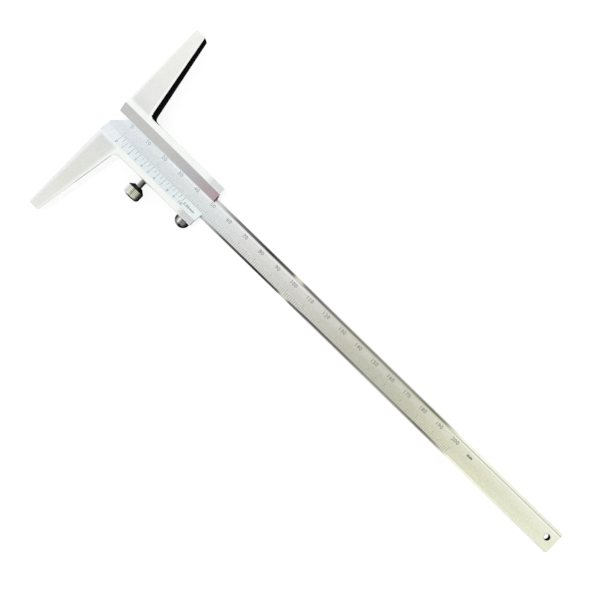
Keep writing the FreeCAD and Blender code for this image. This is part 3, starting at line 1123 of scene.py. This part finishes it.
@dataclass
class Engraving:
    """Lines and numerals filled with paint, on a flat face of the gauge.

    The face is described by a point on it and by its tilt about the x axis.
    """

    name: str
    body: str
    slot: str
    material: bpy.types.Material
    origin: Vector
    tilt: float
    line_width: float
    depth: float = 0.03 * MM
    proud: float = 0.008 * MM
    line_rounding: float = 0.42  # as a share of the line's width
    letter_space: float = 1.12
    curve_steps: int = 3

    def lay(self, piece: Piece) -> Piece:
        """Set something drawn flat at the origin on to the face.

        Args:
            piece: What is drawn.

        Returns:
            The same piece.
        """
        piece.location = self.origin
        piece.rotation_euler = (self.tilt, 0.0, 0.0)
        return settle(piece)

    def new_lines(self, marks: list[tuple[float, float, float]]) -> Piece:
        """Draw graduation lines with rounded ends, sunk into the face.

        Args:
            marks: For each line its place along x, and where it starts and ends along y.

        Returns:
            One piece, still flat at the origin.
        """
        start_clean()
        bpy.ops.mesh.primitive_plane_add(size=1.0, location=(0, 0, 0))
        lines = bpy.context.object
        edit(lines, "FACE")
        bpy.ops.mesh.select_all(action="SELECT")
        bpy.ops.mesh.delete(type="VERT")
        for x, low, high in marks:
            middle = (x, (low + high) / 2, self.proud)
            bpy.ops.mesh.select_all(action="DESELECT")
            bpy.ops.mesh.primitive_plane_add(size=1.0, location=middle)
            bpy.ops.transform.resize(
                value=(self.line_width, high - low, 1.0), center_override=middle
            )
        bpy.ops.mesh.select_all(action="SELECT")
        bpy.ops.mesh.extrude_region_move(
            TRANSFORM_OT_translate={"value": (0, 0, -self.depth - self.proud)}
        )
        pick(lines, "EDGE", is_upright)
        rounding = self.line_width * self.line_rounding
        bpy.ops.mesh.bevel(offset=rounding, segments=2, affect="EDGES")
        return close_up(lines)

    def new_numeral(
        self, text: str, x: float, y: float, height: float, boldness: float = 0.0
    ) -> Piece:
        """Cut a numeral, centred on a point of the face.

        Args:
            text: What it says.
            x: Its middle along x.
            y: Its middle along y.
            height: Its height, foot to top.
            boldness: How much wider its strokes are on each side.

        Returns:
            One piece, still flat at the origin.
        """
        start_clean()
        bpy.ops.object.text_add(location=(x, y, self.proud - self.depth))
        numeral = bpy.context.object
        numeral.data.body = text
        numeral.data.size = height / CAP_SHARE
        numeral.data.align_x = "CENTER"
        numeral.data.align_y = "CENTER"
        numeral.data.resolution_u = self.curve_steps
        numeral.data.space_character = self.letter_space
        numeral.data.offset = boldness
        numeral.data.extrude = self.depth / 2
        numeral.location.z += self.depth / 2
        bpy.ops.object.convert(target="MESH")
        return close_up(settle(bpy.context.object))

    def mount_all(self, pieces: list[Piece], name: str) -> Piece:
        """Join marks, lay them on the face and let them ride with it."""
        return mount(self.lay(join(pieces, name)), self.body, self.material)


@dataclass
class BeamScale(Engraving):
    """The main scale: millimetre lines, and a numeral at every ten."""

    zero: float = 8.9 * MM
    step: float = 1.0 * MM
    decades: int = 20
    foot: float = -4.4 * MM
    longest: float = 3.1 * MM
    numeral_y: float = 2.2 * MM
    numeral_height: float = 1.75 * MM
    unit_x: float = 218.5 * MM
    unit_y: float = 1.6 * MM
    unit_height: float = 1.3 * MM
    unit_boldness: float = 0.07 * MM

    def mark_of(self, number: int) -> Mark:
        """The kind of line at a millimetre."""
        if number % 10 == 0:
            return Mark.LONG
        return Mark.MIDDLE if number % 5 == 0 else Mark.SHORT

    def build(self) -> None:
        """Engrave the lines decade by decade, and then the numerals."""
        marks = [
            (
                self.zero + number * self.step,
                self.foot,
                self.foot + self.longest * self.mark_of(number).value,
            )
            for number in range(10)
        ]
        decade = self.new_lines(marks)
        row = decade.modifiers.new("decades", "ARRAY")
        row.count = self.decades
        row.use_relative_offset = False
        row.use_constant_offset = True
        row.constant_offset_displace = (10 * self.step, 0.0, 0.0)
        apply_modifiers(decade)
        last_x = self.zero + 10 * self.decades * self.step
        last = self.new_lines([(last_x, self.foot, self.foot + self.longest)])
        self.mount_all([decade, last], f"{self.name}_lines")

        numerals = [
            self.new_numeral(
                str(ten * 10),
                self.zero + ten * 10 * self.step,
                self.numeral_y,
                self.numeral_height,
            )
            for ten in range(self.decades + 1)
        ]
        numerals.append(
            self.new_numeral(
                "mm", self.unit_x, self.unit_y, self.unit_height, self.unit_boldness
            )
        )
        self.mount_all(numerals, f"{self.name}_numerals")


@dataclass
class VernierScale(Engraving):
    """The vernier on the slider's lower bevel: 20 parts on 39 mm.

    Distances across it are taken up the bevel from the lip's edge, as negative y.
    """

    zero: float = 8.9 * MM
    span: float = 39.0 * MM
    parts: int = 20
    head: float = -0.15 * MM
    longest: float = 2.45 * MM
    numeral_y: float = -3.85 * MM
    numeral_height: float = 1.45 * MM
    unit_text: str = "0.05mm"
    unit_x: float = 52.3 * MM
    unit_y: float = -2.6 * MM
    unit_height: float = 1.25 * MM
    unit_boldness: float = 0.03 * MM

    def build(self) -> None:
        """Engrave the lines, the numerals 0 to 10 and the value of one part."""
        step = self.span / self.parts
        marks = []
        for number in range(self.parts + 1):
            kind = Mark.LONG if number % 2 == 0 else Mark.MIDDLE
            low = self.head - self.longest * kind.value
            marks.append((self.zero + number * step, low, self.head))
        self.mount_all([self.new_lines(marks)], f"{self.name}_lines")

        numerals = [
            self.new_numeral(
                str(number), self.zero + number * 2 * step, self.numeral_y, self.numeral_height
            )
            for number in range(self.parts // 2 + 1)
        ]
        numerals.append(
            self.new_numeral(
                self.unit_text, self.unit_x, self.unit_y, self.unit_height, self.unit_boldness
            )
        )
        self.mount_all(numerals, f"{self.name}_numerals")


# Lock screws

# painted reflections on the screws, as colour bands by angle around the axis
STEM_REFLECTIONS: Tones = {
    -180: (100, 100, 98),
    -95: (232, 232, 231),
    -40: (220, 220, 218),
    -18: (180, 180, 177),
    12: (168, 168, 163),
    32: (108, 108, 104),
    60: (54, 54, 52),
    110: (56, 56, 54),
    180: (100, 100, 98),
}
KNURLED_REFLECTIONS: Tones = {
    -180: (150, 150, 140),
    -140: (70, 70, 66),
    -110: (160, 160, 156),
    -75: (238, 238, 236),
    -40: (243, 244, 240),
    -28: (218, 218, 212),
    -18: (216, 217, 208),
    -9: (246, 248, 232),
    0: (206, 208, 190),
    9: (176, 178, 162),
    18: (216, 218, 198),
    30: (210, 211, 190),
    42: (186, 187, 170),
    52: (96, 96, 87),
    66: (40, 40, 37),
    110: (34, 34, 32),
    140: (112, 112, 104),
    180: (150, 150, 140),
}
SHOULDER_REFLECTIONS: Tones = {
    -180: (32, 32, 30),
    -80: (70, 70, 70),
    -50: (38, 38, 38),
    -15: (34, 34, 34),
    8: (52, 52, 50),
    24: (30, 30, 28),
    50: (12, 12, 12),
    180: (32, 32, 30),
}
DOMED_REFLECTIONS: Tones = {
    -180: (120, 120, 120),
    -120: (60, 60, 60),
    -80: (28, 28, 28),
    -50: (60, 61, 60),
    -32: (128, 129, 129),
    -20: (188, 188, 188),
    -10: (244, 244, 244),
    0: (168, 168, 168),
    10: (112, 112, 113),
    30: (124, 124, 124),
    44: (84, 84, 84),
    58: (26, 26, 26),
    110: (26, 26, 26),
    150: (100, 100, 100),
    180: (120, 120, 120),
}
KNURLED_END_REFLECTIONS: Tones = {
    -180: (70, 70, 66),
    -60: (226, 226, 222),
    -26: (224, 224, 218),
    -12: (120, 120, 112),
    2: (62, 62, 58),
    24: (56, 56, 52),
    50: (30, 30, 28),
    110: (28, 28, 26),
    180: (70, 70, 66),
}
DOMED_END_REFLECTIONS: Tones = {
    -180: (40, 40, 40),
    -40: (110, 110, 110),
    -12: (120, 120, 120),
    4: (40, 40, 40),
    40: (24, 24, 24),
    180: (40, 40, 40),
}


@dataclass
class LockScrew:
    """A lock screw turned from one bar, with a real thread, pointing along +y."""

    node: str
    body: str
    head_radius: float
    head_height: float
    neck_radius: float
    shoulder: float
    rounding: float
    head_bands: Tones
    end_bands: Tones
    end_facing: float
    groove_depth: float = 0.0
    slot: str = "bright_chrome"
    sides: int = 144
    stem_radius: float = 1.5 * MM
    core_radius: float = 1.22 * MM
    pitch: float = 0.5 * MM
    tip_chamfer: float = 0.3 * MM
    thread_root: float = 0.06 * MM
    thread_foot: float = 0.92
    thread_crest: float = 0.16
    thread_sides: int = 32
    rounding_segments: int = 8
    smooth_angle: float = 35

    def __post_init__(self) -> None:
        """Take the screw's place from its solid."""
        low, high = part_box(self.node)
        self.axis_x = (low.x + high.x) / 2
        self.axis_z = (low.z + high.z) / 2
        self.end = low.y
        self.tip = high.y
        self.underside = self.end + self.head_height

    def finish(self) -> bpy.types.Material:
        """Make the chrome of this screw.

        Returns:
            The finished material.
        """
        return TurnedChrome(
            name=f"{self.node}_chrome",
            roughness=0.16,
            dulling=0.08,
            grain=Grain.AROUND_SCREW,
            depth=0.0008 * MM,
            mottle_swing=0.0,
            axis_x=self.axis_x,
            axis_z=self.axis_z,
            underside=self.underside,
            head_bands=self.head_bands,
            stem_bands=STEM_REFLECTIONS,
            shoulder_bands=SHOULDER_REFLECTIONS,
            end_bands=self.end_bands,
            end_facing=self.end_facing,
            groove_reach=self.groove_depth and self.head_radius - self.groove_depth / 2,
        ).build()

    def cap_at(self, y: float) -> Callable[[bmesh.types.BMFace], bool]:
        """A test for the flat face across the axis at y."""
        return lambda face: (
            abs(face.calc_center_median().y - y) < 1e-6 and abs(face.normal.y) > 0.99
        )

    def rim_at(self, y: float, radius: float) -> Callable[[bmesh.types.BMEdge], bool]:
        """A test for the edges around the axis at y and at a radius."""
        return lambda edge: all(
            abs(vert.co.y - y) < 1e-6 and abs(math.hypot(vert.co.x, vert.co.z) - radius) < 1e-6
            for vert in edge.verts
        )

    def push(self, length: float, share: float) -> None:
        """Extrude the selected cap along the axis and scale it."""
        bpy.ops.mesh.extrude_region_move(TRANSFORM_OT_translate={"value": (0, length, 0)})
        if share != 1.0:
            bpy.ops.transform.resize(value=(share, 1.0, share), center_override=(0, 0, 0))

    def build_head(self) -> Piece:
        """Turn the head and the stem's core, about the y axis.

        Returns:
            The piece, on the axis of the origin.
        """
        start_clean()
        barrel = self.head_height - self.shoulder
        bpy.ops.mesh.primitive_cylinder_add(
            vertices=self.sides,
            radius=self.head_radius,
            depth=barrel,
            location=(0, self.end + barrel / 2, 0),
            rotation=(math.pi / 2, 0, 0),
        )
        head = settle(bpy.context.object)
        top = self.end + barrel
        pick(head, "FACE", self.cap_at(top))
        if self.shoulder > 0:
            self.push(self.shoulder, self.neck_radius / self.head_radius)
        width = (self.neck_radius if self.shoulder > 0 else self.head_radius) - self.core_radius
        bpy.ops.mesh.inset(thickness=width, depth=0)
        stem = self.tip - self.underside
        self.push(stem - self.tip_chamfer, 1.0)
        self.push(self.tip_chamfer, (self.core_radius - self.tip_chamfer / 2) / self.core_radius)
        pick(head, "EDGE", self.rim_at(self.end, self.head_radius))
        bpy.ops.mesh.bevel(
            offset=self.rounding, segments=self.rounding_segments, affect="EDGES"
        )
        return head

    def build_thread(self) -> Piece:
        """Wind the thread's ridge around the core, from the tip to the head.

        Returns:
            The piece, on the axis of the origin.
        """
        start_clean()
        sunk = self.core_radius - self.thread_root
        bpy.ops.mesh.primitive_plane_add(size=1.0, location=(0, 0, 0))
        ridge = bpy.context.object
        edit(ridge, "VERT")
        bpy.ops.mesh.select_all(action="SELECT")
        bpy.ops.mesh.delete(type="ONLY_FACE")
        bpy.ops.mesh.select_all(action="SELECT")
        start = self.underside + self.pitch / 2
        bpy.ops.transform.resize(
            value=(self.stem_radius - sunk, self.pitch * self.thread_foot, 1.0),
            center_override=(0, 0, 0),
        )
        bpy.ops.transform.translate(value=((self.stem_radius + sunk) / 2, start, 0))
        pick(ridge, "VERT", lambda vert: vert.co.x > (self.stem_radius + sunk) / 2)
        bpy.ops.transform.resize(
            value=(1.0, self.thread_crest, 1.0), center_override=(0, start, 0)
        )
        bpy.ops.object.mode_set(mode="OBJECT")
        turns = int((self.tip - self.tip_chamfer - start) / self.pitch)
        winding = ridge.modifiers.new("thread", "SCREW")
        winding.axis = "Y"
        winding.angle = 2 * math.pi
        winding.screw_offset = self.pitch
        winding.iterations = turns
        winding.steps = winding.render_steps = self.thread_sides
        winding.use_merge_vertices = False
        apply_modifiers(ridge)
        pick(ridge, "EDGE", lambda edge: edge.is_boundary)
        bpy.ops.mesh.fill_holes(sides=0)
        return close_up(ridge)

    def detail(self, head: Piece) -> None:
        """Work the outside of the head; a plain head has nothing more."""

    def build(self) -> Piece:
        """Make the whole screw in place of its solid.

        Returns:
            The finished piece.
        """
        head = self.build_head()
        self.detail(head)
        close_up(head)
        screw = join([head, self.build_thread()], f"{self.node}_turned")
        screw.location = (self.axis_x, 0.0, self.axis_z)
        settle(screw)
        smooth(screw, self.smooth_angle)
        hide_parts(self.node)
        return mount(screw, self.body, self.finish())


@dataclass
class KnurledLockScrew(LockScrew):
    """The lock screw whose tall head has straight grooves."""

    grooves: int = 36

    def detail(self, head: Piece) -> None:
        """Press the grooves into the barrel, running out on the cone and the rounding.

        Args:
            head: The head, about the y axis of the origin.
        """
        turn = 2 * math.pi / self.grooves
        low = self.end + self.rounding
        high = self.end + self.head_height - self.shoulder

        def in_groove(vert: bmesh.types.BMVert) -> bool:
            """Tell the vertices at the bottom of a groove.

            Args:
                vert: A vertex of the head.

            Returns:
                Whether it is one of them.
            """
            on_barrel = low - 1e-6 < vert.co.y < high + 1e-6
            outside = math.hypot(vert.co.x, vert.co.z) > self.head_radius - 1e-5
            part = math.atan2(vert.co.x, vert.co.z) / turn
            return on_barrel and outside and abs(part - round(part)) < 0.01

        pick(head, "VERT", in_groove)
        share = 1.0 - self.groove_depth / self.head_radius
        bpy.ops.transform.resize(value=(share, 1.0, share), center_override=(0, 0, 0))


# Studio


@dataclass(frozen=True)
class Lamp:
    """A square soft lamp that faces the gauge."""

    name: str
    place: tuple[float, float, float]
    size: float
    power: float


@dataclass
class Studio:
    """A white table, a pale room and soft lamps, and a camera straight above the gauge."""

    camera_x: float = -20.35 * MM
    camera_y: float = -0.93 * MM
    subject_z: float = 7.35 * MM
    distance: float = 320.0 * MM
    turn: float = 44.2
    focal_pixels: float = 721.0
    image_pixels: float = 600.0
    sensor: float = 36.0
    nearest: float = 0.01
    floor_size: float = 6.0
    floor_drop: float = 0.05 * MM
    floor_colour: Colour = (128, 128, 128)
    floor_glow: float = 0.84
    lamps: tuple[Lamp, ...] = (
        Lamp("key_lamp", (-0.5, 0.25, 0.40), 0.6, 0.13),
        Lamp("fill_lamp", (0.4, -0.4, 0.5), 0.6, 0.07),
    )

    def set_camera(self) -> None:
        """Hang the camera over the middle of the gauge, turned as the photograph is."""
        start_clean()
        bpy.ops.object.camera_add(
            location=(self.camera_x, self.camera_y, self.subject_z + self.distance),
            rotation=(0.0, 0.0, math.radians(self.turn)),
        )
        camera = bpy.context.object
        camera.data.sensor_width = self.sensor
        camera.data.lens = self.focal_pixels / self.image_pixels * self.sensor
        camera.data.clip_start = self.nearest
        bpy.context.scene.camera = camera

    def lay_floor(self) -> None:
        """Lay a white table that glows enough to be white in the picture."""
        start_clean()
        bpy.ops.mesh.primitive_plane_add(
            size=self.floor_size, location=(0, 0, -self.floor_drop)
        )
        floor = bpy.context.object
        floor.name = "table"
        material = bpy.data.materials.new("table_white")
        material.use_nodes = True
        nodes, links = material.node_tree.nodes, material.node_tree.links
        nodes.clear()
        matt = nodes.new("ShaderNodeBsdfDiffuse")
        matt.inputs["Color"].default_value = linear(self.floor_colour)
        glow = nodes.new("ShaderNodeEmission")
        rays = nodes.new("ShaderNodeLightPath")
        seen = rays.outputs["Is Camera Ray"]
        for name in ("Is Glossy Ray", "Is Transmission Ray"):
            either = nodes.new("ShaderNodeMath")
            either.operation = "MAXIMUM"
            links.new(seen, either.inputs[0])
            links.new(rays.outputs[name], either.inputs[1])
            seen = either.outputs[0]
        power = nodes.new("ShaderNodeMath")
        power.operation = "MULTIPLY"
        power.inputs[1].default_value = self.floor_glow
        links.new(seen, power.inputs[0])
        links.new(power.outputs[0], glow.inputs["Strength"])
        both = nodes.new("ShaderNodeAddShader")
        links.new(matt.outputs[0], both.inputs[0])
        links.new(glow.outputs[0], both.inputs[1])
        output = nodes.new("ShaderNodeOutputMaterial")
        links.new(both.outputs[0], output.inputs["Surface"])
        floor.data.materials.append(material)

    def light_room(self) -> None:
        """Light the scene evenly from a white room."""
        world = bpy.data.worlds.new("room")
        bpy.context.scene.world = world
        world.use_nodes = True
        nodes, links = world.node_tree.nodes, world.node_tree.links
        nodes.clear()
        back = nodes.new("ShaderNodeBackground")
        back.inputs["Color"].default_value = (1.0, 1.0, 1.0, 1.0)
        back.inputs["Strength"].default_value = 1.0
        output = nodes.new("ShaderNodeOutputWorld")
        links.new(back.outputs[0], output.inputs["Surface"])

    def hang(self, lamp: Lamp) -> None:
        """Hang a lamp and point it at the gauge.

        Args:
            lamp: The lamp.
        """
        start_clean()
        bpy.ops.object.light_add(type="AREA", location=lamp.place)
        light = bpy.context.object
        light.name = lamp.name
        light.data.size = lamp.size
        light.data.energy = lamp.power
        light.rotation_euler = (-Vector(lamp.place)).to_track_quat("-Z", "Y").to_euler()

    def build(self) -> None:
        """Set up the table, the room, the lamps and the camera."""
        self.lay_floor()
        self.light_room()
        for lamp in self.lamps:
            self.hang(lamp)
        self.set_camera()
        log.info("studio is set")


# The gauge


@dataclass
class DepthGauge:
    """The whole gauge: finishes for its solids, engraved scales and turned screws."""

    nodes: dict[str, Piece]
    lip_half: float = 3.7 * MM
    window_half: float = 8.2 * MM
    lip_front: float = 7.65 * MM

    def dress(self, node: str, material: bpy.types.Material) -> None:
        """Give a solid a better finish.

        Args:
            node: The solid's node.
            material: Its finish.
        """
        solid = self.nodes[node]
        for place in solid.material_slots:
            place.material = material
        log.info("%s: %s", node, material.name)

    def dress_solids(self) -> None:
        """Finish the base, the beam and the small inner pieces."""
        base_low, base_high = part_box("base_slider")
        beam_low, beam_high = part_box("depth_beam")
        self.dress(
            "base_slider",
            SliderChrome(
                name="satin_chrome",
                roughness=0.32,
                face_x=base_low.x,
                thickness=base_high.z - base_low.z,
            ).build(),
        )
        self.dress(
            "depth_beam",
            BeamSteel(
                name="beam_steel",
                roughness=0.30,
                grain=Grain.ALONG_BEAM,
                density=11000.0,
                depth=0.0015 * MM,
                mottle_swing=0.26,
                face_x=beam_low.x,
                half_width=beam_high.y,
                length=beam_high.x - beam_low.x,
            ).build(),
        )
        bronze = PlainMetal(
            name="bronze",
            colour=(186, 140, 92),
            shade=(128, 88, 54),
            roughness=0.38,
            grain=Grain.ALONG_BEAM,
        ).build()
        brass = PlainMetal(
            name="brass",
            colour=(214, 178, 104),
            shade=(160, 122, 62),
            roughness=0.30,
            grain=Grain.AROUND_SCREW,
        ).build()
        steel = PlainMetal(
            name="screw_steel", colour=(120, 122, 126), shade=(72, 70, 70), roughness=0.36
        ).build()
        self.dress("gib_strip", bronze)
        for node in ("front_clamp_pad", "rear_clamp_pad"):
            self.dress(node, brass)
        for node in ("gib_screw_front", "gib_screw_rear"):
            self.dress(node, steel)

    def engrave(self) -> None:
        """Cut the main scale into the beam and the vernier into the lower bevel."""
        beam_low, beam_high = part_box("depth_beam")
        base_low, base_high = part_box("base_slider")
        beam_paint = ScalePaint(
            name="beam_engraving",
            roughness=0.55,
            face_x=beam_low.x,
            tones={
                0.0: (158, 163, 169),
                45 * MM: (150, 153, 158),
                62 * MM: (138, 139, 140),
                76 * MM: (108, 108, 106),
                110 * MM: (98, 98, 92),
                170 * MM: (92, 92, 82),
                205 * MM: (96, 96, 84),
                214 * MM: (40, 40, 36),
            },
        ).build()
        vernier_paint = ScalePaint(
            name="vernier_engraving",
            roughness=0.55,
            face_x=base_low.x,
            tones={
                0.0: (132, 142, 152),
                42 * MM: (138, 146, 154),
                49 * MM: (98, 106, 104),
                58 * MM: (84, 92, 90),
            },
        ).build()
        BeamScale(
            name="beam_scale",
            body="beam",
            slot="beam_steel",
            material=beam_paint,
            origin=Vector((beam_low.x, 0.0, beam_high.z)),
            tilt=0.0,
            line_width=0.12 * MM,
        ).build()
        rise = base_high.z - self.lip_front
        VernierScale(
            name="vernier",
            body="base",
            slot="satin_chrome",
            material=vernier_paint,
            origin=Vector((base_low.x, -self.lip_half, self.lip_front)),
            tilt=-math.atan2(rise, self.window_half - self.lip_half),
            line_width=0.16 * MM,
        ).build()

    def fit_screws(self) -> None:
        """Turn the two lock screws."""
        KnurledLockScrew(
            node="front_lock_screw",
            body="front_screw",
            head_radius=4.2 * MM,
            head_height=6.2 * MM,
            neck_radius=2.1 * MM,
            shoulder=1.7 * MM,
            rounding=1.6 * MM,
            head_bands=KNURLED_REFLECTIONS,
            end_bands=KNURLED_END_REFLECTIONS,
            end_facing=-0.55,
            groove_depth=0.25 * MM,
        ).build()
        LockScrew(
            node="rear_lock_screw",
            body="rear_screw",
            head_radius=3.55 * MM,
            head_height=3.7 * MM,
            neck_radius=3.55 * MM,
            shoulder=0.0,
            rounding=3.25 * MM,
            head_bands=DOMED_REFLECTIONS,
            end_bands=DOMED_END_REFLECTIONS,
            end_facing=-0.6,
        ).build()

    def build(self) -> None:
        """Dress and complete the gauge."""
        self.dress_solids()
        self.engrave()
        self.fit_screws()


def main() -> None:
    """Load the solids, dress them and set the studio."""
    logging.basicConfig(level=logging.INFO, format="%(name)s: %(message)s")
    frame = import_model()
    DepthGauge(nodes=frame["nodes"]).build()
    Studio().build()
    bpy.context.scene.view_settings.view_transform = "Standard"


if __name__ == "__main__":
    main()
